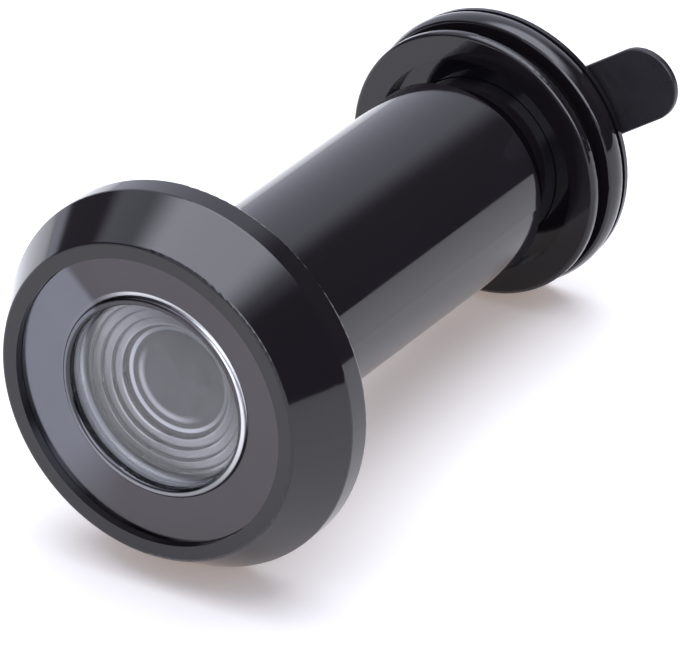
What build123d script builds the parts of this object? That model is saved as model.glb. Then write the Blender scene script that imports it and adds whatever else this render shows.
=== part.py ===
from build123d import *
import math
import os

os.makedirs("parts", exist_ok=True)

# Door viewer for a 14 mm hole. Lengths are in millimetres.
# The optical axis is Y: the front lens faces -Y, the eyepiece faces +Y, and +Z is up.
# The origin is on the axis, in the plane where the front head seats on the door.

# Front barrel and its bevelled head
barrel_radius = 7.0
barrel_length = 31.2
head_radius = 13.15
head_wall_length = 1.8
bevel_length = 3.7
rim_radius = 11.05
rim_width = 1.05
recess_depth = 0.65
edge_round = 0.25
tube_end_chamfer = 0.25

# Retaining ring and front lens
ring_thickness = 0.65
ring_dish = 0.35
aperture_radius = 6.4
aperture_bead_radius = 0.3
lens_ledge = 1.2
lens_edge_thickness = 1.2
lens_seal_thickness = 0.3
lens_seal_width = 1.15
dome_height = 0.9
dome_inset = 0.05
lens_centre_thickness = 1.5
lens_hollow_margin = 1.2

# Stepped funnel and lens stack behind the front lens
stack_wall = 1.2
baffle_length = 1.2
baffle_throat_radius = 3.8
baffle_lip_thickness = 0.3
baffle_steps = 4
second_lens_thickness = 1.6
second_lens_front_sag = 0.25
second_lens_rear_sag = 0.75
spacer_length = 0.8
spacer_width = 1.9
third_lens_thickness = 1.1
third_lens_sag = 0.6
lens_land = 2.3
cushion_thickness = 0.3
cushion_width = 1.2
lip_length = 1.0
lip_height = 1.3

# Screw thread between the two barrels
thread_pitch = 1.0
thread_depth = 0.55
thread_wall = 0.95
thread_flank_angle = 30.0
thread_flank_clearance = 0.04
thread_radial_clearance = 0.10
female_thread_turns = 11
thread_relief = 0.05
thread_end_relief = 0.6
mouth_relief_depth = 0.6

# Rear barrel, shown in its photographed place
seat_to_seat = 33.6
barrel_end_clearance = 5.8
rear_wall = 0.7
screw_in_travel = 2.0
shoulder_clearance = 0.2
rear_head_overhang = 0.3
rear_head_thickness = 1.7
rear_head_crown = 0.25
rear_head_round = 0.2
rear_head_chamfer = 0.12
light_stop_thickness = 0.8
light_stop_radius = 3.0
light_stop_inset = 0.6

# Eyepiece
eyepiece_wall = 0.85
eyepiece_cushion_thickness = 0.5
eyepiece_cushion_width = 1.0
eyepiece_thickness = 2.3
eyepiece_sag = 1.2
eyepiece_land = 1.3
spigot_length = 1.1
spigot_wall = 1.2
cap_thickness = 0.5
cap_margin = 0.1
cap_edge_round = 0.2
eye_hole_radius = 2.1
eye_hole_chamfer = 0.12

# Door washer, a flanged cup, and the slip washer behind it
washer_rim_thickness = 0.8
washer_rim_overhang = 1.0
washer_rim_round = 0.3
washer_hub_wall = 0.9
washer_recess_clearance = 0.6
washer_recess_depth = 1.0
washer_web = 0.4
slip_washer_thickness = 0.5
slip_washer_margin = 0.3

# Privacy cover
cover_angle = 33.6
pivot_setback = 1.16
leaf_width = 5.15
leaf_thickness = 0.5
leaf_edge_chamfer = 0.08
shim_thickness = 0.12
shim_radius = 1.5
rivet_radius = 0.6
rivet_head_radius = 1.4
rivet_head_edge = 0.15
rivet_head_dome = 0.35
rivet_tail_radius = 0.85
rivet_tail_height = 0.45
tail_pocket_clearance = 0.15
spring_thickness = 0.12
spring_rise = 0.1
spring_margin = 0.1

# Fits
seat_clearance = 0.03
running_clearance = 0.05
face_clearance = 0.05


def save(piece, name):
    """Label a finished piece and write it to its own file."""
    piece.part.label = name
    export_step(piece.part, f"parts/{name}.step")


def sphere_radius(half_width, sag):
    """Radius of the sphere whose cap is that wide and that high."""
    return (half_width ** 2 + sag ** 2) / (2 * sag)


# Places along the axis, front to rear
rim_plane = -(head_wall_length + bevel_length)
ring_front = rim_plane + recess_depth
ring_rear = ring_front + ring_thickness
lens_rear = ring_rear + lens_edge_thickness
baffle_front = lens_rear + lens_seal_thickness
baffle_rear = baffle_front + baffle_length
second_rear = baffle_rear + second_lens_thickness
spacer_rear = second_rear + spacer_length
third_rear = spacer_rear + third_lens_thickness
lip_front = third_rear + cushion_thickness
lip_rear = lip_front + lip_length
washer_front = seat_to_seat
hub_rear = washer_front + washer_recess_depth + washer_web
slip_front = hub_rear + face_clearance
slip_rear = slip_front + slip_washer_thickness
rear_head_front = slip_rear + face_clearance
rear_head_rear = rear_head_front + rear_head_thickness
cap_rear = rear_head_rear + cap_thickness
mouth_relief_front = barrel_length - mouth_relief_depth
neck_front = mouth_relief_front + screw_in_travel + shoulder_clearance
rear_barrel_front = lip_rear + barrel_end_clearance
lens_bay_front = rear_head_rear - spigot_length - eyepiece_thickness - eyepiece_cushion_thickness
eyepiece_front = lens_bay_front + eyepiece_cushion_thickness
eyepiece_rear = eyepiece_front + eyepiece_thickness
leaf_front = cap_rear + shim_thickness + face_clearance
leaf_rear = leaf_front + leaf_thickness

# Radii, from the tube inwards and outwards
recess_radius = rim_radius - rim_width
lens_radius = aperture_radius + lens_ledge
stack_radius = barrel_radius - stack_wall
stack_piece_radius = stack_radius - seat_clearance
female_root = barrel_radius - thread_wall
female_crest = female_root - thread_depth
male_crest = female_root - thread_radial_clearance
male_root = female_crest - thread_radial_clearance
rear_bore = male_root - rear_wall
neck_radius = male_crest
lens_bay_radius = neck_radius - eyepiece_wall
eyepiece_radius = lens_bay_radius - seat_clearance
washer_recess_radius = barrel_radius + washer_recess_clearance
washer_hub_radius = washer_recess_radius + washer_hub_wall
washer_rim_radius = washer_hub_radius + washer_rim_overhang
washer_hole_radius = neck_radius + running_clearance
rear_head_radius = washer_rim_radius + rear_head_overhang
head_edge_radius = rear_head_radius - rear_head_crown
cap_radius = rear_head_radius - cap_margin
thread_mid_radius = (female_root + male_root) / 2
pivot_radius = lens_bay_radius + pivot_setback
pivot_x = pivot_radius * math.cos(math.radians(cover_angle))
pivot_z = pivot_radius * math.sin(math.radians(cover_angle))


def tooth_half_width(radius):
    """Half the axial width of the basic thread tooth at that radius."""
    slope = math.tan(math.radians(thread_flank_angle))
    return thread_pitch / 4 - (radius - thread_mid_radius) * slope


def groove_outline(radii, half_widths, place):
    """Corners of a thread groove's section in the XY plane, where X is the radius."""
    inner, outer = radii
    inner_half = half_widths[0] + thread_flank_clearance
    outer_half = half_widths[1] + thread_flank_clearance
    return [
        (inner, place - inner_half),
        (outer, place - outer_half),
        (outer, place + outer_half),
        (inner, place + inner_half),
    ]


def helix_path(start, turns):
    """Right-handed helix about the Y axis that starts over +X at that place."""
    plane = Plane(origin=(0, start, 0), x_dir=(1, 0, 0), z_dir=(0, 1, 0))
    return plane.location * Helix(thread_pitch, turns * thread_pitch, thread_mid_radius)


# Front barrel: bevelled head, lens seats, inner lip and plain tube in one turned piece
relief_rear = barrel_length - female_thread_turns * thread_pitch
thread_overrun = 3 * thread_pitch
with BuildPart() as front_barrel:
    with BuildSketch(Plane.XY):
        with BuildLine():
            Polyline(
                (recess_radius, rim_plane),
                (rim_radius, rim_plane),
                (head_radius, rim_plane + bevel_length),
                (head_radius, 0),
                (barrel_radius, 0),
                (barrel_radius, barrel_length + thread_overrun),
                (female_crest, barrel_length + thread_overrun),
                (female_crest, lip_rear),
                (stack_radius - lip_height, lip_rear),
                (stack_radius - lip_height, lip_front),
                (stack_radius, lip_front),
                (stack_radius, baffle_rear),
                (lens_radius + seat_clearance, baffle_rear),
                (lens_radius + seat_clearance, ring_rear),
                (recess_radius, ring_rear),
                close=True,
            )
        make_face()
    revolve(axis=Axis.Y)
    # Inside thread, cut past the tube's end and trimmed there
    groove_start = relief_rear - 2 * thread_pitch
    groove = groove_outline(
        (female_crest - thread_relief, female_root),
        (tooth_half_width(female_crest - thread_relief), tooth_half_width(female_root)),
        groove_start,
    )
    with BuildSketch(Plane.XY):
        with BuildLine():
            Polyline(*groove, close=True)
        make_face()
    sweep(
        path=helix_path(groove_start, female_thread_turns + 4),
        is_frenet=True,
        mode=Mode.SUBTRACT,
    )
    split(bisect_by=Plane(origin=(0, barrel_length, 0), z_dir=(0, 1, 0)), keep=Keep.BOTTOM)
    # Clearance bore ahead of the thread
    with BuildSketch(Plane.XZ.offset(-lip_rear)):
        Circle(female_root + thread_relief)
    extrude(amount=lip_rear - relief_rear, mode=Mode.SUBTRACT)
    # Relief in the tube's mouth, which the rear barrel's neck enters when it is screwed right in
    with BuildSketch(Plane.XZ.offset(-barrel_length)):
        Circle(female_root + thread_relief)
    extrude(amount=mouth_relief_depth, mode=Mode.SUBTRACT)
    outer_edges = front_barrel.edges().filter_by(GeomType.CIRCLE).filter_by(
        lambda edge: edge.radius > rim_radius - rim_width / 2
    )
    fillet(outer_edges, edge_round)
    tube_end = front_barrel.edges().filter_by(GeomType.CIRCLE).filter_by(
        lambda edge: edge.center().Y > relief_rear and edge.radius > (female_root + barrel_radius) / 2
    )
    chamfer(tube_end, tube_end_chamfer)
save(front_barrel, "front_barrel")

# Dished plate that holds the lenses in, with a half-round bead round its aperture
bead_outer_radius = aperture_radius + 2 * aperture_bead_radius
bead_foot = ring_front + ring_dish
bead_top = (aperture_radius + aperture_bead_radius, bead_foot - aperture_bead_radius)
with BuildPart() as retaining_ring:
    with BuildSketch(Plane.XY):
        with BuildLine():
            Polyline(
                (bead_outer_radius, bead_foot),
                (recess_radius - seat_clearance, ring_front),
                (recess_radius - seat_clearance, ring_rear),
                (aperture_radius, ring_rear),
                (aperture_radius, bead_foot),
            )
            ThreePointArc((aperture_radius, bead_foot), bead_top, (bead_outer_radius, bead_foot))
        make_face()
    revolve(axis=Axis.Y)
save(retaining_ring, "retaining_ring")


def flat_ring(inner, outer, front, rear):
    """Plain ring about the optical axis."""
    with BuildPart() as ring:
        with BuildSketch(Plane.XZ.offset(-front)):
            Circle(outer)
            Circle(inner, mode=Mode.SUBTRACT)
        extrude(amount=front - rear)
    return ring


def domed_surface(vertex, half_width, rise):
    """Half of a spherical surface in profile, from its axis to its edge."""
    radius = sphere_radius(half_width, abs(rise))
    half_angle = math.asin(half_width / radius) / 2
    depth = math.copysign(radius * (1 - math.cos(half_angle)), rise)
    middle = (radius * math.sin(half_angle), vertex + depth)
    return ThreePointArc((0, vertex), middle, (half_width, vertex + rise))


# Soft gasket between the front lens and the funnel
lens_seal = flat_ring(lens_radius - lens_seal_width, lens_radius, lens_rear, baffle_front)
save(lens_seal, "lens_seal")

# Front lens: domed in front, hollowed behind, with a flat ledge all round under the plate
dome_radius = aperture_radius - dome_inset
hollow_radius = lens_radius - lens_hollow_margin
dome_vertex = ring_rear - dome_height
hollow_vertex = dome_vertex + lens_centre_thickness
with BuildPart() as objective_lens:
    with BuildSketch(Plane.XY):
        with BuildLine():
            domed_surface(dome_vertex, dome_radius, dome_height)
            Polyline(
                (dome_radius, ring_rear),
                (lens_radius, ring_rear),
                (lens_radius, lens_rear),
                (hollow_radius, lens_rear),
            )
            domed_surface(hollow_vertex, hollow_radius, lens_rear - hollow_vertex)
            Line((0, hollow_vertex), (0, dome_vertex))
        make_face()
    revolve(axis=Axis.Y)
save(objective_lens, "objective_lens")

# Stepped funnel behind the front lens, ending in a narrow throat
step_length = (baffle_length - baffle_lip_thickness) / baffle_steps
step_height = (hollow_radius - baffle_throat_radius) / baffle_steps
funnel = [(lens_radius, baffle_rear), (lens_radius, baffle_front), (hollow_radius, baffle_front)]
for step in range(baffle_steps):
    step_radius = hollow_radius - step * step_height
    step_place = baffle_front + (step + 1) * step_length
    funnel.append((step_radius, step_place))
    funnel.append((step_radius - step_height, step_place))
funnel.append((baffle_throat_radius, baffle_rear))
with BuildPart() as baffle_ring:
    with BuildSketch(Plane.XY):
        with BuildLine():
            Polyline(*funnel, close=True)
        make_face()
    revolve(axis=Axis.Y)
save(baffle_ring, "baffle_ring")

# Second lens, hollow on both sides
hollow_edge = stack_piece_radius - lens_land
with BuildPart() as second_lens:
    with BuildSketch(Plane.XY):
        with BuildLine():
            domed_surface(baffle_rear + second_lens_front_sag, hollow_edge, -second_lens_front_sag)
            Polyline(
                (hollow_edge, baffle_rear),
                (stack_piece_radius, baffle_rear),
                (stack_piece_radius, second_rear),
                (hollow_edge, second_rear),
            )
            domed_surface(second_rear - second_lens_rear_sag, hollow_edge, second_lens_rear_sag)
            Line((0, second_rear - second_lens_rear_sag), (0, baffle_rear + second_lens_front_sag))
        make_face()
    revolve(axis=Axis.Y)
save(second_lens, "second_lens")

lens_spacer = flat_ring(stack_piece_radius - spacer_width, stack_piece_radius, second_rear, spacer_rear)
save(lens_spacer, "lens_spacer")

# Third lens, flat in front and hollow behind
with BuildPart() as third_lens:
    with BuildSketch(Plane.XY):
        with BuildLine():
            Polyline(
                (0, third_rear - third_lens_sag),
                (0, spacer_rear),
                (stack_piece_radius, spacer_rear),
                (stack_piece_radius, third_rear),
                (hollow_edge, third_rear),
            )
            domed_surface(third_rear - third_lens_sag, hollow_edge, third_lens_sag)
        make_face()
    revolve(axis=Axis.Y)
save(third_lens, "third_lens")

stack_cushion = flat_ring(stack_piece_radius - cushion_width, stack_piece_radius, third_rear, lip_front)
save(stack_cushion, "stack_cushion")

# Flanged cup that bears on the inside of the door
with BuildPart() as door_washer:
    with BuildSketch(Plane.XY):
        with BuildLine():
            Polyline(
                (washer_hole_radius, washer_front + washer_recess_depth),
                (washer_recess_radius, washer_front + washer_recess_depth),
                (washer_recess_radius, washer_front),
                (washer_rim_radius, washer_front),
                (washer_rim_radius, washer_front + washer_rim_thickness),
                (washer_hub_radius, washer_front + washer_rim_thickness),
                (washer_hub_radius, hub_rear),
                (washer_hole_radius, hub_rear),
                close=True,
            )
        make_face()
    revolve(axis=Axis.Y)
    rim_edges = door_washer.edges().filter_by(GeomType.CIRCLE).filter_by(
        lambda edge: edge.radius > washer_hub_radius + washer_rim_overhang / 2
    )
    fillet(rim_edges, washer_rim_round)
save(door_washer, "door_washer")

slip_washer = flat_ring(washer_hole_radius, washer_hub_radius - slip_washer_margin, slip_front, slip_rear)
save(slip_washer, "slip_washer")

# Rear barrel: screwed tube, plain neck and round head, bored for the eyepiece from behind
thread_rear = neck_front - thread_end_relief
turns_ahead = math.ceil((relief_rear - rear_barrel_front) / thread_pitch) + 2
with BuildPart() as rear_barrel:
    with BuildSketch(Plane.XY):
        with BuildLine():
            Polyline(
                (rear_bore, rear_barrel_front - thread_overrun),
                (male_crest, rear_barrel_front - thread_overrun),
                (male_crest, thread_rear + thread_overrun),
                (rear_bore, thread_rear + thread_overrun),
                close=True,
            )
        make_face()
    revolve(axis=Axis.Y)
    # Outside thread in step with the inside thread, cut past both ends and trimmed there
    groove_start = relief_rear + thread_pitch / 2 - turns_ahead * thread_pitch
    groove_turns = math.ceil((thread_rear - groove_start) / thread_pitch) + 1
    crest_cut = male_crest + thread_relief
    groove = groove_outline(
        (male_root, crest_cut),
        (thread_pitch / 2 - tooth_half_width(male_root), thread_pitch / 2 - tooth_half_width(crest_cut)),
        groove_start,
    )
    with BuildSketch(Plane.XY):
        with BuildLine():
            Polyline(*groove, close=True)
        make_face()
    sweep(path=helix_path(groove_start, groove_turns), is_frenet=True, mode=Mode.SUBTRACT)
    split(bisect_by=Plane(origin=(0, rear_barrel_front, 0), z_dir=(0, 1, 0)), keep=Keep.TOP)
    split(bisect_by=Plane(origin=(0, thread_rear, 0), z_dir=(0, 1, 0)), keep=Keep.BOTTOM)
    with BuildSketch(Plane.XY):
        with BuildLine():
            Polyline(
                (head_edge_radius, rear_head_rear),
                (lens_bay_radius, rear_head_rear),
                (lens_bay_radius, lens_bay_front),
                (rear_bore, lens_bay_front),
                (rear_bore, thread_rear),
                (male_root - thread_relief, thread_rear),
                (male_root - thread_relief, neck_front),
                (neck_radius, neck_front),
                (neck_radius, rear_head_front),
                (head_edge_radius, rear_head_front),
            )
            ThreePointArc(
                (head_edge_radius, rear_head_front),
                (rear_head_radius, rear_head_front + rear_head_thickness / 2),
                (head_edge_radius, rear_head_rear),
            )
        make_face()
    revolve(axis=Axis.Y)
    head_edges = rear_barrel.edges().filter_by(GeomType.CIRCLE).filter_by(
        lambda edge: edge.radius > (rear_head_radius + neck_radius) / 2
    ).sort_by(Axis.Y)
    fillet(head_edges[0], rear_head_round)
    chamfer(head_edges[-1], rear_head_chamfer)
    # Pocket for the clenched end of the cover's rivet
    with BuildSketch(Plane.XZ.offset(-rear_head_rear)):
        with Locations((pivot_x, pivot_z)):
            Circle(rivet_tail_radius + tail_pocket_clearance)
    extrude(amount=rivet_tail_height + tail_pocket_clearance, mode=Mode.SUBTRACT)
save(rear_barrel, "rear_barrel")

light_stop_front = rear_barrel_front + light_stop_inset
light_stop = flat_ring(
    light_stop_radius, rear_bore - seat_clearance, light_stop_front, light_stop_front + light_stop_thickness
)
save(light_stop, "light_stop")

eyepiece_cushion = flat_ring(
    eyepiece_radius - eyepiece_cushion_width, eyepiece_radius, lens_bay_front, eyepiece_front
)
save(eyepiece_cushion, "eyepiece_cushion")

# Eyepiece lens, domed towards the light and flat towards the eye
eyepiece_dome = eyepiece_radius - eyepiece_land
with BuildPart() as eyepiece_lens:
    with BuildSketch(Plane.XY):
        with BuildLine():
            domed_surface(eyepiece_front - eyepiece_sag, eyepiece_dome, eyepiece_sag)
            Polyline(
                (eyepiece_dome, eyepiece_front),
                (eyepiece_radius, eyepiece_front),
                (eyepiece_radius, eyepiece_rear),
                (0, eyepiece_rear),
                (0, eyepiece_front - eyepiece_sag),
            )
        make_face()
    revolve(axis=Axis.Y)
save(eyepiece_lens, "eyepiece_lens")

# Plate on the back of the rear head, with a spigot that holds the eyepiece in
with BuildPart() as rear_cap:
    with BuildSketch(Plane.XY):
        with BuildLine():
            Polyline(
                (eye_hole_radius, rear_head_rear),
                (eye_hole_radius, cap_rear),
                (cap_radius, cap_rear),
                (cap_radius, rear_head_rear),
                (eyepiece_radius, rear_head_rear),
                (eyepiece_radius, eyepiece_rear),
                (eyepiece_radius - spigot_wall, eyepiece_rear),
                close=True,
            )
        make_face()
    revolve(axis=Axis.Y)
    rear_edges = rear_cap.edges().filter_by(GeomType.CIRCLE).group_by(Axis.Y)[-1].sort_by(SortBy.RADIUS)
    fillet(rear_edges[-1], cap_edge_round)
    chamfer(rear_edges[0], eye_hole_chamfer)
    with BuildSketch(Plane.XZ.offset(-cap_rear)):
        with Locations((pivot_x, pivot_z)):
            Circle(rivet_radius + seat_clearance)
    extrude(amount=cap_thickness, mode=Mode.SUBTRACT)
save(rear_cap, "rear_cap")

# Washer under the cover leaf, round the rivet
with BuildPart() as cover_shim:
    with BuildSketch(Plane.XZ.offset(-cap_rear)):
        with Locations((pivot_x, pivot_z)):
            Circle(shim_radius)
            Circle(rivet_radius + seat_clearance, mode=Mode.SUBTRACT)
    extrude(amount=-shim_thickness)
save(cover_shim, "cover_shim")

# Privacy cover: a flat leaf with round ends; it reaches the eyepiece when it turns half way round
with BuildPart() as cover_leaf:
    with BuildSketch(Plane.XZ.offset(-leaf_front)):
        with Locations((1.5 * pivot_x, 1.5 * pivot_z)):
            SlotCenterToCenter(pivot_radius, leaf_width, rotation=cover_angle)
    extrude(amount=-leaf_thickness)
    chamfer(cover_leaf.edges().filter_by(Plane.XZ), leaf_edge_chamfer)
    with BuildSketch(Plane.XZ.offset(-leaf_rear)):
        with Locations((pivot_x, pivot_z)):
            Circle(rivet_radius + running_clearance)
    extrude(amount=leaf_thickness, mode=Mode.SUBTRACT)
save(cover_leaf, "cover_leaf")

# Dished washer that presses the leaf against the shim
spring_front = leaf_rear + face_clearance
head_seat = spring_front + spring_rise + spring_thickness
pivot_axis = Axis((pivot_x, 0, pivot_z), (0, 1, 0))
with BuildPart() as spring_washer:
    with BuildSketch(Plane((pivot_x, 0, pivot_z))):
        with BuildLine():
            Polyline(
                (rivet_radius + spring_margin, spring_front + spring_rise),
                (rivet_radius + spring_margin, head_seat),
                (rivet_head_radius - spring_margin, spring_front + spring_thickness),
                (rivet_head_radius - spring_margin, spring_front),
                close=True,
            )
        make_face()
    revolve(axis=pivot_axis)
save(spring_washer, "spring_washer")

# Rivet: clenched tail in the rear head's pocket, shank through the cap, domed head outside
tail_end = rear_head_rear - rivet_tail_height
head_top = head_seat + rivet_head_edge + rivet_head_dome
with BuildPart() as cover_rivet:
    with BuildSketch(Plane((pivot_x, 0, pivot_z))):
        with BuildLine():
            Polyline(
                (0, head_top),
                (0, tail_end),
                (rivet_tail_radius, tail_end),
                (rivet_tail_radius, rear_head_rear),
                (rivet_radius, rear_head_rear),
                (rivet_radius, head_seat),
                (rivet_head_radius, head_seat),
                (rivet_head_radius, head_seat + rivet_head_edge),
            )
            domed_surface(head_top, rivet_head_radius, -rivet_head_dome)
        make_face()
    revolve(axis=pivot_axis)
save(cover_rivet, "cover_rivet")
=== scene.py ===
import math

import bmesh
import bpy
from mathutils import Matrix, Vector


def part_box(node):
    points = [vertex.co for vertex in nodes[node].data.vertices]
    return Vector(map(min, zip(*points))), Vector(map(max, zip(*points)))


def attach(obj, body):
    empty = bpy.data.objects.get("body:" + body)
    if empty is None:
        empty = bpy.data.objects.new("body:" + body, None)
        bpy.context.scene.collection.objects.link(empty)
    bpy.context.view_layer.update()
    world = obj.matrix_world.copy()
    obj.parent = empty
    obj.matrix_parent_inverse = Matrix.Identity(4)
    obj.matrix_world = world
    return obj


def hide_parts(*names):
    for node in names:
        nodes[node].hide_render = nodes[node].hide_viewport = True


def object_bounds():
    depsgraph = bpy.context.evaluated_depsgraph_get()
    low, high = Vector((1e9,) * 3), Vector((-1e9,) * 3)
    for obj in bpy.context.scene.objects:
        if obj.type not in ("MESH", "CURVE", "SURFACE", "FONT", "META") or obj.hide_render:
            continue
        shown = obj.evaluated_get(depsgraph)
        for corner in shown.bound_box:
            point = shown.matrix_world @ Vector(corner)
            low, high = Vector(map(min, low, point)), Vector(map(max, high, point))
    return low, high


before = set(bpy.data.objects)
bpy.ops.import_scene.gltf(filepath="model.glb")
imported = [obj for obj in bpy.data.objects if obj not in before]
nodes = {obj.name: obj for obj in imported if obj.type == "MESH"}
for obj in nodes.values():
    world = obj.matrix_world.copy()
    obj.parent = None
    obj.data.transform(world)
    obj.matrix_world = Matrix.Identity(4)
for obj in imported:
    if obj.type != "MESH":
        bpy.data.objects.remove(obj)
cad_low, cad_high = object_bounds()

MM = 0.001

# The photograph's view: direction of the camera, its focal length, and where the head's rim sits
IMAGE_SIZE = (680, 657)
CAMERA_AZIMUTH = 32.7
CAMERA_ELEVATION = 28.5
FOCAL_PX = 8000
RIM_CENTRE_PX = (146, 403.5)
RIM_SCALE_PX_PER_MM = 15.8
SENSOR_MM = 36.0
CLIP_NEAR = 0.01
CLIP_FAR = 10

# Sides of the optical axis, as degrees from +X towards +Z
LOWER_LEFT = 225
# Side on which the painted highlight line on the bead fades out
HIGHLIGHT_FADE_SIDE = 154

# Radii of the plate's aperture and of the bead round it
APERTURE_RADIUS = 6.4 * MM
BEAD_RADIUS = 0.3 * MM

# Highlight line painted on the bead's uncoated metal, a crescent a little off the axis: how far each side it
# is full, and reaches
HIGHLIGHT_LINE_RADIUS = 6.92 * MM
HIGHLIGHT_LINE_CENTRE = (-0.05 * MM, 0.0, 0.24 * MM)
HIGHLIGHT_LINE_FULL = 0.08 * MM
HIGHLIGHT_LINE_REACH = 0.17 * MM

# Sector painted paler as reflected light on the plate, as radians from -X towards -Z: where it starts, is
# full, fades and ends
PAINTED_REFLECTION_SECTOR = (-0.92, -0.83, 0.6, 1.3)

# Radii of the funnel's widest and narrowest step, and of the second lens's hollow and of the painted
# highlight arc inside it
FUNNEL_RADIUS = 6.4 * MM
THROAT_RADIUS = 3.8 * MM
FUNNEL_STEPS = 4
HOLLOW_RADIUS = 3.47 * MM
INNER_GLINT_RADIUS = 2.75 * MM

# Each lens: its body, and for its front and its rear the curved part's half width and how far it
# bulges out, or in where that is negative, in millimetres
LENSES = {
    "objective_lens": ("front", (6.35, 0.9), (6.4, -0.6)),
    "second_lens": ("front", (3.47, -0.25), (3.47, -0.75)),
    "third_lens": ("front", (3.47, 0.0), (3.47, -0.6)),
    "eyepiece_lens": ("eyepiece", (3.77, 1.2), (3.77, 0.0)),
}
LENS_SEGMENTS = 160
LENS_RINGS = 32
LENS_GAP = 0.02 * MM
LENS_SHARP_ANGLE = math.radians(35)

# Studio: the table, where the rear head touches it in front of the rear barrel's end, and the cards
TABLE_HALF_SIZE = 0.9
FOLD_MARGIN = 8 * MM
REAR_CONTACT_SETBACK = 0.9 * MM
CARD_CENTRE = Vector((0, 15 * MM, 0))
CARD_COLUMNS = 24
CARD_ROWS = 12
CARD_GLOW = (0.93, 0.96, 1.08)
SHARP_MARGIN = 1e-4
BRIGHT = 5.0
DARK = 0.06

# Key lamp
KEY_PLACE = Vector((-0.05, 0.04, 0.5))
KEY_SIZE = 0.75
KEY_WATTS = 4.2


def add_to_scene(piece):
    bpy.context.scene.collection.objects.link(piece)
    return piece


def turn_towards(piece, direction):
    """Turns a camera or a lamp so that its back faces the direction, with its top upwards."""
    piece.rotation_mode = "QUATERNION"
    piece.rotation_quaternion = direction.to_track_quat("Z", "Y")


def camera_axes(azimuth, elevation):
    """Directions to the camera, to the picture's right and to its top."""
    a = math.radians(azimuth)
    e = math.radians(elevation)
    back = Vector((math.sin(a) * math.cos(e), -math.cos(a) * math.cos(e), math.sin(e)))
    right = Vector((math.cos(a), math.sin(a), 0))
    up = back.cross(right)
    return back, right, up


def make_camera(rim_centre):
    """Camera of the photograph: the rim's centre falls on its pixel, at its scale."""
    back, right, up = camera_axes(CAMERA_AZIMUTH, CAMERA_ELEVATION)
    distance = FOCAL_PX / RIM_SCALE_PX_PER_MM * MM
    across = (RIM_CENTRE_PX[0] - IMAGE_SIZE[0] / 2) / FOCAL_PX * distance
    above = (IMAGE_SIZE[1] / 2 - RIM_CENTRE_PX[1]) / FOCAL_PX * distance
    data = bpy.data.cameras.new("camera")
    data.sensor_width = SENSOR_MM
    data.lens = FOCAL_PX / IMAGE_SIZE[0] * SENSOR_MM
    data.clip_start = CLIP_NEAR
    data.clip_end = CLIP_FAR
    camera = add_to_scene(bpy.data.objects.new("camera", data))
    camera.location = rim_centre - right * across - up * above + back * distance
    turn_towards(camera, back)
    bpy.context.scene.camera = camera


class Nodes:
    """Adds and links the nodes of one material or of the world."""

    def __init__(self, tree):
        self.tree = tree

    def feed(self, socket, value):
        """Links a socket to a node's output, or sets it to a number or a colour."""
        if isinstance(value, bpy.types.NodeSocket):
            self.tree.links.new(value, socket)
        else:
            socket.default_value = value

    def add(self, kind, inputs=None, **settings):
        """New node with its settings, and with its inputs fed by name or by number."""
        node = self.tree.nodes.new(kind)
        for key, value in settings.items():
            setattr(node, key, value)
        for key, value in (inputs or {}).items():
            self.feed(node.inputs[key], value)
        return node

    def math(self, operation, first, second=0.0):
        return self.add("ShaderNodeMath", {0: first, 1: second}, operation=operation).outputs[0]

    def ramp(self, value, low, high, to_low=0.0, to_high=1.0, kind="SMOOTHSTEP"):
        """Goes from to_low to to_high as the value goes from low to high, which may be the smaller."""
        inputs = {"Value": value, "From Min": low, "From Max": high, "To Min": to_low, "To Max": to_high}
        return self.add("ShaderNodeMapRange", inputs, interpolation_type=kind).outputs[0]

    def band(self, value, start, full_from, full_to, end):
        """1 between the two middle values, and 0 outside start and end."""
        return self.math("MULTIPLY", self.ramp(value, start, full_from), self.ramp(value, end, full_to))

    def blend(self, factor, first, second):
        """Colour between two, each an RGB triple or a node's output."""
        node = self.add("ShaderNodeMix", data_type="RGBA")
        self.feed(node.inputs[0], factor)
        for number, color in ((6, first), (7, second)):
            self.feed(node.inputs[number], (*color, 1) if isinstance(color, tuple) else color)
        return node.outputs[2]

    def noise(self, scale, detail, **inputs):
        """Noise from 0 to 1 over the object, whose scale is its number of patches to the metre."""
        inputs = {"Vector": self.surface_point(), "Scale": scale, "Detail": detail, **inputs}
        return self.add("ShaderNodeTexNoise", inputs).outputs["Fac"]

    def line_noise(self, scale, detail, place):
        """Noise from 0 to 1 along one place in metres, to the same scale."""
        inputs = {"W": place, "Scale": scale, "Detail": detail}
        return self.add("ShaderNodeTexNoise", inputs, noise_dimensions="1D").outputs["Fac"]

    def surface_point(self):
        return self.add("ShaderNodeTexCoord").outputs["Object"]

    def coordinates(self, point):
        return self.add("ShaderNodeSeparateXYZ", {0: point}).outputs

    def bump(self, strength, distance, height):
        inputs = {"Strength": strength, "Distance": distance, "Height": height}
        return self.add("ShaderNodeBump", inputs).outputs["Normal"]

    def seen_directly(self):
        """1 for rays from the camera, in reflections and through glass, and 0 for light on surfaces."""
        path = self.add("ShaderNodeLightPath").outputs
        seen = self.math("MAXIMUM", path["Is Camera Ray"], path["Is Glossy Ray"])
        return self.math("MAXIMUM", seen, path["Is Transmission Ray"])


def new_material(name):
    material = bpy.data.materials.new(name)
    material.use_nodes = True
    return material, Nodes(material.node_tree), material.node_tree.nodes["Principled BSDF"].inputs


def radius_from_axis(graph, point):
    """Distance of a point from the optical axis, in metres."""
    parts = graph.coordinates(point)
    square = graph.math("ADD", graph.math("POWER", parts[0], 2.0), graph.math("POWER", parts[2], 2.0))
    return graph.math("SQRT", square)


def lean_to(graph, point, radius, side):
    """1 on one side of the optical axis and -1 on the other."""
    angle = math.radians(side)
    parts = graph.coordinates(point)
    across = graph.math("MULTIPLY", parts[0], math.cos(angle))
    upwards = graph.math("MULTIPLY", parts[2], math.sin(angle))
    return graph.math("DIVIDE", graph.math("ADD", across, upwards), radius)


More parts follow.
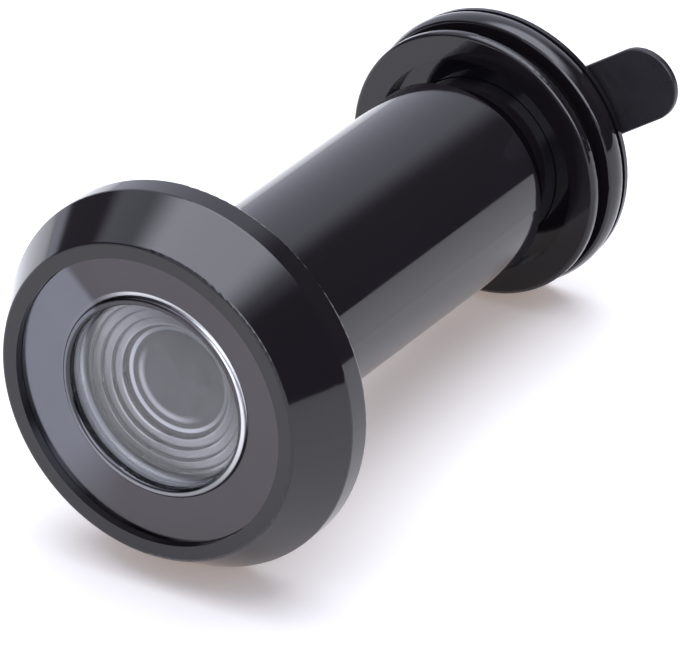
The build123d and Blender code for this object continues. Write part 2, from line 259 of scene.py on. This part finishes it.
def lathe_lines(graph, scale, detail):
    """Fine lines round the axis, on faces square to it and along it alike."""
    point = graph.surface_point()
    place = graph.math("ADD", radius_from_axis(graph, point), graph.coordinates(point)[1])
    return graph.line_noise(scale, detail, place)


def gloss_coating(name, color, tint, roughness, specular=0.5, speck_roughness=0.12, lathe_share=0.35):
    """Glossy dark plating: cloudy roughness, faint lathe lines under the coat, and sparse fine specks."""
    material, graph, shader = new_material(name)
    cloud = graph.noise(260.0, 4.0, Roughness=0.6)
    specks = graph.noise(5200.0, 2.0)
    lathe = lathe_lines(graph, 9000.0, 2.0)
    graph.feed(shader["Base Color"], graph.blend(cloud, color, tint))
    shader["Specular IOR Level"].default_value = specular
    cloudy = graph.ramp(cloud, 0.3, 0.75, roughness * 0.75, roughness * 1.35)
    specked = graph.ramp(specks, 0.62, 0.8, 0.0, speck_roughness)
    graph.feed(shader["Roughness"], graph.math("ADD", cloudy, specked))
    height = graph.math("ADD", graph.math("MULTIPLY", lathe, lathe_share), cloud)
    graph.feed(shader["Normal"], graph.bump(0.05, 0.02 * MM, height))
    return material


def ring_plate():
    """Black-nickel plate, painted paler on one sector as reflected light, with a highlight line painted on
    its bead.
    """
    material, graph, shader = new_material("ring_plate")
    point = graph.surface_point()
    radius = radius_from_axis(graph, point)
    clouds = graph.noise(220.0, 3.0)
    # Plating tone, and a paler tone painted over one sector as a reflection of light
    plating_tone = graph.blend(clouds, (0.068, 0.062, 0.066), (0.086, 0.08, 0.086))
    painted_reflection_tone = graph.blend(clouds, (0.135, 0.137, 0.155), (0.158, 0.16, 0.182))
    parts = graph.coordinates(point)
    to_left = graph.math("MULTIPLY", parts[0], -1.0)
    downwards = graph.math("MULTIPLY", parts[2], -1.0)
    painted_reflection = graph.band(graph.math("ARCTAN2", downwards, to_left), *PAINTED_REFLECTION_SECTOR)
    plate = graph.blend(painted_reflection, plating_tone, painted_reflection_tone)

    # The bead's inner side is darker
    bead_crest = APERTURE_RADIUS + BEAD_RADIUS
    inner_side = graph.ramp(radius, bead_crest - 0.02 * MM, bead_crest - 0.1 * MM)
    plate = graph.blend(inner_side, plate, (0.06, 0.06, 0.064))

    # Painted highlight: the bead's uncoated metal line is brightest at the upper right, as a lit crescent,
    # and fades out on the upper left
    shifted = graph.add("ShaderNodeVectorMath", {0: point, 1: HIGHLIGHT_LINE_CENTRE}, operation="SUBTRACT").outputs[0]
    highlight_line = graph.band(
        radius_from_axis(graph, shifted),
        HIGHLIGHT_LINE_RADIUS - HIGHLIGHT_LINE_REACH,
        HIGHLIGHT_LINE_RADIUS - HIGHLIGHT_LINE_FULL,
        HIGHLIGHT_LINE_RADIUS + HIGHLIGHT_LINE_FULL,
        HIGHLIGHT_LINE_RADIUS + HIGHLIGHT_LINE_REACH,
    )
    highlight_share = graph.ramp(lean_to(graph, point, radius, HIGHLIGHT_FADE_SIDE), 0.95, 0.6, 0.1, 1.0)
    highlight_line = graph.math("MULTIPLY", highlight_line, highlight_share)
    upper_right = graph.ramp(lean_to(graph, point, radius, LOWER_LEFT), 0.1, -0.8)
    bare_metal_highlight = graph.blend(upper_right, (0.26, 0.26, 0.27), (0.68, 0.68, 0.69))

    graph.feed(shader["Base Color"], graph.blend(highlight_line, plate, bare_metal_highlight))
    shader["Metallic"].default_value = 1.0
    cloudy = graph.ramp(clouds, 0.3, 0.7, 0.12, 0.2)
    brushed = graph.math("MULTIPLY", highlight_line, 0.24)
    graph.feed(shader["Roughness"], graph.math("ADD", cloudy, brushed))
    lathe = graph.line_noise(12000.0, 2.0, radius)
    graph.feed(shader["Normal"], graph.bump(0.06, 0.01 * MM, lathe))
    return material


def seal_finish():
    """Pale fibre gasket, with a highlight painted lighter along its inner edge on the lower-left side."""
    material, graph, shader = new_material("seal_fibre")
    point = graph.surface_point()
    radius = radius_from_axis(graph, point)
    # Painted highlight along the inner edge, on the lower-left side
    inner_edge = graph.ramp(radius, FUNNEL_RADIUS + 0.75 * MM, FUNNEL_RADIUS + 0.3 * MM)
    lower_left = graph.ramp(lean_to(graph, point, radius, LOWER_LEFT), -0.3, 0.7)
    painted_glint = graph.math("MULTIPLY", inner_edge, lower_left)
    fibre = graph.blend(graph.noise(1400.0, 3.0), (0.24, 0.24, 0.26), (0.36, 0.36, 0.39))
    graph.feed(shader["Base Color"], graph.blend(painted_glint, fibre, (0.8, 0.8, 0.84)))
    shader["Roughness"].default_value = 0.6
    return material


def turned_metal(name, color, roughness):
    """Bare turned metal with fine concentric tool lines."""
    material, graph, shader = new_material(name)
    lathe = lathe_lines(graph, 7000.0, 3.0)
    darker = tuple(part * 0.72 for part in color)
    graph.feed(shader["Base Color"], graph.blend(graph.noise(500.0, 3.0), darker, color))
    shader["Metallic"].default_value = 1.0
    graph.feed(shader["Roughness"], graph.ramp(lathe, 0.3, 0.7, roughness * 0.8, roughness * 1.25))
    graph.feed(shader["Normal"], graph.bump(0.25, 0.01 * MM, lathe))
    return material


def baffle_finish():
    """Turned funnel steps: painted shade in each step's corner and towards the upper right, and bright
    uncoated metal on each lip and round the throat, kept to the lower left as painted highlights.
    """
    material, graph, shader = new_material("baffle_metal")
    point = graph.surface_point()
    radius = radius_from_axis(graph, point)
    lean = lean_to(graph, point, radius, LOWER_LEFT)
    patches = graph.noise(170.0, 1.0)

    # Share of the way across each step, from its outer corner to its inner lip, with uneven edges
    step_height = (FUNNEL_RADIUS - THROAT_RADIUS) / FUNNEL_STEPS
    place = graph.math("DIVIDE", graph.math("SUBTRACT", FUNNEL_RADIUS, radius), step_height)
    waver = graph.ramp(patches, 0.3, 0.7, -0.1, 0.14, "LINEAR")
    across = graph.math("FRACT", graph.math("ADD", place, waver))

    # Rubbed bright metal on the lips, on the outermost one, and round the throat, placed only towards the
    # lower left as painted highlights
    wear_on_glint_side = graph.math("MULTIPLY", graph.ramp(patches, 0.42, 0.6), graph.ramp(lean, -0.4, 0.6))
    lips = graph.math("MULTIPLY", graph.ramp(across, 0.7, 0.95), graph.math("MULTIPLY", wear_on_glint_side, 0.7))
    outer_lip = graph.ramp(radius, FUNNEL_RADIUS - 0.5 * MM, FUNNEL_RADIUS - 0.25 * MM)
    outer_lip = graph.math("MULTIPLY", outer_lip, graph.ramp(lean, 0.0, 0.8, 0.0, 0.75))
    throat = graph.ramp(radius, THROAT_RADIUS + 0.2 * MM, THROAT_RADIUS + 0.08 * MM)
    throat = graph.math("MULTIPLY", throat, graph.ramp(wear_on_glint_side, 0.0, 1.0, 0.08, 0.3))
    marks_and_glints = graph.math("MAXIMUM", graph.math("MAXIMUM", lips, outer_lip), throat)

    face = graph.blend(graph.noise(330.0, 3.0), (0.17, 0.17, 0.18), (0.34, 0.34, 0.36))
    # Painted shade: darker in each step's outer corner, and darker towards the upper right where the steps
    # face down away from the light
    face = graph.blend(graph.ramp(across, 0.04, 0.4), (0.035, 0.035, 0.04), face)
    face = graph.blend(graph.ramp(lean, -1.0, 0.45), (0.05, 0.044, 0.05), face)
    graph.feed(shader["Base Color"], graph.blend(marks_and_glints, face, (0.85, 0.85, 0.87)))
    shader["Metallic"].default_value = 1.0
    lathe = lathe_lines(graph, 5200.0, 2.0)
    graph.feed(shader["Roughness"], graph.ramp(lathe, 0.3, 0.7, 0.28, 0.38))
    graph.feed(shader["Normal"], graph.bump(0.08, 0.01 * MM, lathe))
    return material


def hazy_glass():
    """Lens with a milky bloom on it, darker towards the upper right, and two light rings painted as
    highlights on the lower-left side.
    """
    material, graph, shader = new_material("second_glass")
    point = graph.surface_point()
    radius = radius_from_axis(graph, point)
    lean = lean_to(graph, point, radius, LOWER_LEFT)
    # Less bloom, so darker, towards the upper right
    dimmer_side = graph.math("MULTIPLY", graph.ramp(lean, -0.2, -0.95), graph.ramp(radius, 0.4 * MM, 2.2 * MM))
    swirl = graph.noise(330.0, 1.5, Distortion=1.2)
    bloom = graph.math("MULTIPLY", graph.ramp(swirl, 0.3, 0.7, 0.35, 1.0),
                       graph.ramp(dimmer_side, 0.0, 1.0, 1.0, 0.25))
    haze = graph.blend(bloom, (0.006, 0.005, 0.007), (0.062, 0.058, 0.072))

    # Painted highlights: a ring along the hollow's edge, brightest towards the lower left, and a fainter arc
    # inside it on that side
    edge_ring_glint = graph.band(radius, HOLLOW_RADIUS - 0.26 * MM, HOLLOW_RADIUS - 0.14 * MM,
                           HOLLOW_RADIUS, HOLLOW_RADIUS + 0.1 * MM)
    edge_ring_glint = graph.math("MULTIPLY", edge_ring_glint, graph.ramp(lean, -0.5, 0.6, 0.2, 1.0))
    inner_glint = graph.band(radius, INNER_GLINT_RADIUS - 0.3 * MM, INNER_GLINT_RADIUS,
                            INNER_GLINT_RADIUS + 0.05 * MM, INNER_GLINT_RADIUS + 0.25 * MM)
    inner_glint = graph.math("MULTIPLY", inner_glint, graph.ramp(lean, 0.1, 0.9, 0.0, 0.75))
    marks_and_glints = graph.math("MAXIMUM", edge_ring_glint, inner_glint)

    graph.feed(shader["Base Color"], graph.blend(marks_and_glints, haze, (0.72, 0.72, 0.76)))
    graph.feed(shader["Transmission Weight"], graph.math("MULTIPLY", graph.math("SUBTRACT", 1.0, marks_and_glints), 0.08))
    graph.feed(shader["Roughness"], graph.ramp(marks_and_glints, 0.0, 1.0, 0.14, 0.45))
    shader["IOR"].default_value = 1.5
    shader["Specular IOR Level"].default_value = 0.16
    return material


def lens_glass(name, tint, roughness=0.0):
    """Clear moulded glass with a faint haze in its roughness."""
    material, graph, shader = new_material(name)
    shader["Base Color"].default_value = (*tint, 1)
    shader["Transmission Weight"].default_value = 1.0
    shader["IOR"].default_value = 1.5
    shader["Specular IOR Level"].default_value = 0.32
    haze = graph.noise(420.0, 3.0)
    graph.feed(shader["Roughness"], graph.ramp(haze, 0.35, 0.75, roughness, roughness + 0.03))
    return material


def soft_matte(name, color, roughness=0.7):
    """Dull rubber or plastic with a fine moulded grain."""
    material, graph, shader = new_material(name)
    grain = graph.noise(2600.0, 4.0)
    lighter = tuple(part * 1.5 for part in color)
    graph.feed(shader["Base Color"], graph.blend(grain, color, lighter))
    graph.feed(shader["Roughness"], graph.ramp(grain, 0.3, 0.7, roughness * 0.85, roughness))
    graph.feed(shader["Normal"], graph.bump(0.3, 0.02 * MM, grain))
    return material


def make_finishes():
    """Material of each CAD node, by the node's name."""
    black_coat = gloss_coating("black_coat", (0.0105, 0.008, 0.0105), (0.0125, 0.0098, 0.013), 0.07)
    leaf_coat = gloss_coating("leaf_coat", (0.025, 0.022, 0.026), (0.03, 0.027, 0.031), 0.32,
                              specular=0.3, speck_roughness=0.0, lathe_share=0.0)
    return {
        "front_barrel": black_coat,
        "rear_barrel": black_coat,
        "door_washer": black_coat,
        "rear_cap": black_coat,
        "cover_leaf": leaf_coat,
        "cover_rivet": gloss_coating("rivet_coat", (0.014, 0.0115, 0.014), (0.02, 0.018, 0.021), 0.14),
        "retaining_ring": ring_plate(),
        "objective_lens": lens_glass("front_glass", (0.98, 0.99, 0.99)),
        "second_lens": hazy_glass(),
        "third_lens": lens_glass("third_glass", (0.94, 0.93, 0.96), 0.05),
        "eyepiece_lens": lens_glass("eyepiece_glass", (0.98, 0.99, 0.99)),
        "baffle_ring": baffle_finish(),
        "lens_spacer": turned_metal("spacer_metal", (0.08, 0.08, 0.085), 0.45),
        "light_stop": turned_metal("stop_metal", (0.05, 0.05, 0.055), 0.5),
        "spring_washer": turned_metal("spring_steel", (0.52, 0.52, 0.53), 0.3),
        "lens_seal": seal_finish(),
        "stack_cushion": soft_matte("cushion_rubber", (0.03, 0.03, 0.032)),
        "eyepiece_cushion": soft_matte("eyepiece_rubber", (0.03, 0.03, 0.032)),
        "slip_washer": soft_matte("slip_plastic", (0.022, 0.022, 0.024), 0.55),
        "cover_shim": soft_matte("shim_plastic", (0.03, 0.03, 0.032), 0.5),
    }


def lens_face(half_width, bulge, edge_place, outwards):
    """Points of one polished face in profile, from the axis to its edge: (radius, place along Y)."""
    points = []
    for i in range(LENS_RINGS + 1):
        radius = half_width * i / LENS_RINGS
        height = 0.0
        if bulge:
            sphere = (half_width ** 2 + bulge ** 2) / (2 * abs(bulge))
            drop = sphere - math.sqrt(sphere ** 2 - half_width ** 2)
            height = math.copysign(drop - (sphere - math.sqrt(sphere ** 2 - radius ** 2)), bulge)
        points.append((radius, edge_place + outwards * height))
    return points


def lens_outline(node_name, front, rear):
    """Profile of a lens that fills its CAD node's box, a hair clear of what it touches."""
    low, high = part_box(node_name)
    rim = high.x - LENS_GAP
    front_edge = low.y + max(front[1], 0.0) * MM + LENS_GAP
    rear_edge = high.y - max(rear[1], 0.0) * MM - LENS_GAP
    front_face = lens_face(front[0] * MM, front[1] * MM, front_edge, -1)
    rear_face = lens_face(rear[0] * MM, rear[1] * MM, rear_edge, 1)
    return front_face + [(rim, front_edge), (rim, rear_edge)] + rear_face[::-1]


def turned_mesh(name, outline):
    """Closed mesh of an outline turned round the Y axis, from one point on the axis to another."""
    shape = bmesh.new()
    poles = (shape.verts.new((0, outline[0][1], 0)), shape.verts.new((0, outline[-1][1], 0)))
    rings = []
    for radius, place in outline[1:-1]:
        ring = []
        for i in range(LENS_SEGMENTS):
            turn = 2 * math.pi * i / LENS_SEGMENTS
            ring.append(shape.verts.new((radius * math.cos(turn), place, radius * math.sin(turn))))
        rings.append(ring)
    for i in range(LENS_SEGMENTS):
        after = (i + 1) % LENS_SEGMENTS
        shape.faces.new((poles[0], rings[0][i], rings[0][after]))
        shape.faces.new((poles[1], rings[-1][after], rings[-1][i]))
        for inner, outer in zip(rings, rings[1:]):
            shape.faces.new((inner[i], outer[i], outer[after], inner[after]))
    bmesh.ops.recalc_face_normals(shape, faces=shape.faces)
    mesh = bpy.data.meshes.new(name)
    shape.to_mesh(mesh)
    shape.free()
    mesh.shade_smooth()
    mesh.set_sharp_from_angle(angle=LENS_SHARP_ANGLE)
    return mesh


def polished_lens(node_name, body, front, rear, finish):
    """Finely turned lens in the place of its coarser CAD node."""
    name = node_name.replace("_lens", "_glass")
    mesh = turned_mesh(name, lens_outline(node_name, front, rear))
    mesh.materials.append(finish)
    piece = add_to_scene(bpy.data.objects.new(name, mesh))
    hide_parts(node_name)
    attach(piece, body)


def stage_object(name, mesh, material):
    """Object of the studio, which isn't part of the viewer."""
    mesh.materials.append(material)
    piece = add_to_scene(bpy.data.objects.new(name, mesh))
    return piece


def table_material():
    """White table, pure white to the camera and in reflections, which keeps its soft shadow."""
    material, graph, shader = new_material("table")
    shader["Base Color"].default_value = (0.86, 0.88, 0.93, 1)
    shader["Roughness"].default_value = 0.9
    shader["Specular IOR Level"].default_value = 0.0
    diffuse = material.node_tree.nodes["Principled BSDF"].outputs[0]
    seen = graph.seen_directly()
    glow = graph.add("ShaderNodeEmission", {"Color": (0.28, 0.22, 0.18, 1), "Strength": seen})
    lit = graph.add("ShaderNodeAddShader", {0: diffuse, 1: glow.outputs[0]})

    # It can be seen through from below
    under = graph.add("ShaderNodeNewGeometry").outputs["Backfacing"]
    clear = graph.add("ShaderNodeBsdfTransparent")
    surface = graph.add("ShaderNodeMixShader", {0: under, 1: lit.outputs[0], 2: clear.outputs[0]})
    graph.feed(material.node_tree.nodes["Material Output"].inputs["Surface"], surface.outputs[0])
    return material


def make_table(head_bottom, rear_bottom):
    """Table that touches the head's lowest point and the rear head's.

    Behind the rear head it folds to the barrel's direction, so that the head slides along it when the
    barrels are screwed apart.
    """
    slope = (rear_bottom - head_bottom).normalized()
    backwards = Vector((0, 1, 0))
    lines = (
        rear_bottom - slope * TABLE_HALF_SIZE,
        rear_bottom - slope * FOLD_MARGIN,
        rear_bottom,
        rear_bottom + backwards * FOLD_MARGIN,
        rear_bottom + backwards * TABLE_HALF_SIZE,
    )
    half_width = Vector((TABLE_HALF_SIZE, 0, 0))
    corners = [line + half_width * end for line in lines for end in (-1, 1)]
    strips = [(2 * i, 2 * i + 1, 2 * i + 3, 2 * i + 2) for i in range(len(lines) - 1)]
    mesh = bpy.data.meshes.new("table")
    mesh.from_pydata(corners, [], strips)
    mesh.shade_smooth()
    stage_object("table", mesh, table_material())


def card_material(name, strength, margins):
    """Even glow that fades out towards the card's edges."""
    material = bpy.data.materials.new(name)
    material.use_nodes = True
    material.node_tree.nodes.clear()
    graph = Nodes(material.node_tree)
    place = graph.coordinates(graph.add("ShaderNodeTexCoord").outputs["UV"])
    fades = []
    for axis, (low, high) in enumerate(margins):
        fades.append(graph.ramp(place[axis], 0.0, max(low, SHARP_MARGIN)))
        fades.append(graph.ramp(place[axis], 1.0, 1.0 - max(high, SHARP_MARGIN)))
    cover = fades[0]
    for fade in fades[1:]:
        cover = graph.math("MULTIPLY", cover, fade)
    glow = graph.add("ShaderNodeEmission", {"Color": (*CARD_GLOW, 1), "Strength": strength})
    clear = graph.add("ShaderNodeBsdfTransparent")
    surface = graph.add("ShaderNodeMixShader", {0: cover, 1: clear.outputs[0], 2: glow.outputs[0]})
    graph.add("ShaderNodeOutputMaterial", {"Surface": surface.outputs[0]})
    return material


def card_mesh(name, azimuths, elevations, distance):
    """Part of a sphere between two azimuths and two elevations, with its UV map from 0 to 1 each way."""
    shape = bmesh.new()
    layer = shape.loops.layers.uv.new("card")
    grid = []
    for i in range(CARD_COLUMNS + 1):
        a = math.radians(azimuths[0] + (azimuths[1] - azimuths[0]) * i / CARD_COLUMNS)
        line = []
        for j in range(CARD_ROWS + 1):
            e = math.radians(elevations[0] + (elevations[1] - elevations[0]) * j / CARD_ROWS)
            direction = Vector((math.sin(a) * math.cos(e), math.cos(a) * math.cos(e), math.sin(e)))
            line.append(shape.verts.new(direction * distance))
        grid.append(line)
    for i in range(CARD_COLUMNS):
        for j in range(CARD_ROWS):
            places = ((i, j), (i + 1, j), (i + 1, j + 1), (i, j + 1))
            face = shape.faces.new([grid[u][v] for u, v in places])
            for loop, (u, v) in zip(face.loops, places):
                loop[layer].uv = (u / CARD_COLUMNS, v / CARD_ROWS)
    mesh = bpy.data.meshes.new(name)
    shape.to_mesh(mesh)
    shape.free()
    return mesh


def reflected_card(name, azimuths, elevations, distance, strength, margins):
    """Curved studio card that only reflections show, placed by its directions from the object in degrees.

    Azimuth 0 is +Y and 90 is +X. The margins are soft, as shares of the card: ((left, right), (low, high)).
    """
    mesh = card_mesh(name, azimuths, elevations, distance)
    card = stage_object(name, mesh, card_material(name, strength, margins))
    card.location = CARD_CENTRE
    card.visible_camera = False
    card.visible_diffuse = False
    card.visible_transmission = False
    card.visible_shadow = False
    card.visible_volume_scatter = False


def make_world():
    """Pale bluish light from all round, which shows as white to the camera and in reflections."""
    world = bpy.data.worlds.new("world")
    world.use_nodes = True
    bpy.context.scene.world = world
    graph = Nodes(world.node_tree)
    reflected = graph.add("ShaderNodeLightPath").outputs["Is Glossy Ray"]
    shown = graph.blend(reflected, (1, 1, 1), (0.94, 0.97, 1.13))
    background = world.node_tree.nodes["Background"].inputs
    graph.feed(background["Color"], graph.blend(graph.seen_directly(), (0.4, 0.46, 0.57), shown))
    background["Strength"].default_value = 1.0


def make_key_lamp(target):
    """Square soft lamp above the object, which stays out of reflections."""
    data = bpy.data.lights.new("key", "AREA")
    data.shape = "SQUARE"
    data.size = KEY_SIZE
    data.energy = KEY_WATTS
    lamp = add_to_scene(bpy.data.objects.new("key", data))
    lamp.location = KEY_PLACE
    lamp.visible_glossy = False
    turn_towards(lamp, KEY_PLACE - target)


barrel_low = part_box("front_barrel")[0]
make_camera(Vector((0, barrel_low.y, 0)))

finishes = make_finishes()
for name, node in nodes.items():
    node.data.materials.clear()
    node.data.materials.append(finishes[name])
for name, (body, front, rear) in LENSES.items():
    polished_lens(name, body, front, rear, finishes[name])

rear_low, rear_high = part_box("rear_barrel")
make_table(
    Vector((0, 0, barrel_low.z)),
    Vector((0, rear_high.y - REAR_CONTACT_SETBACK, rear_low.z)),
)

# Overhead softbox, a bright card in front, and dark ones that keep the sides dark
reflected_card("softbox", (-180, 180), (50, 89.9), 0.6, BRIGHT, ((0, 0), (0.45, 0)))
reflected_card("right_flag", (-5, 132), (-9, 56), 0.3, DARK, ((0.2, 0.1), (0.02, 0.22)))
reflected_card("low_flag", (70, 132), (-16, -8.8), 0.3, DARK, ((0.3, 0.1), (0.6, 0.0)))
reflected_card("front_card", (118, 176), (4, 54), 0.28, BRIGHT, ((0.2, 0.2), (0.25, 0.25)))
reflected_card("left_flag", (-165, -66), (5, 38), 0.3, DARK, ((0.05, 0.08), (0.15, 0.3)))
make_world()
make_key_lamp((cad_low + cad_high) / 2)

bpy.context.scene.view_settings.view_transform = "Standard"
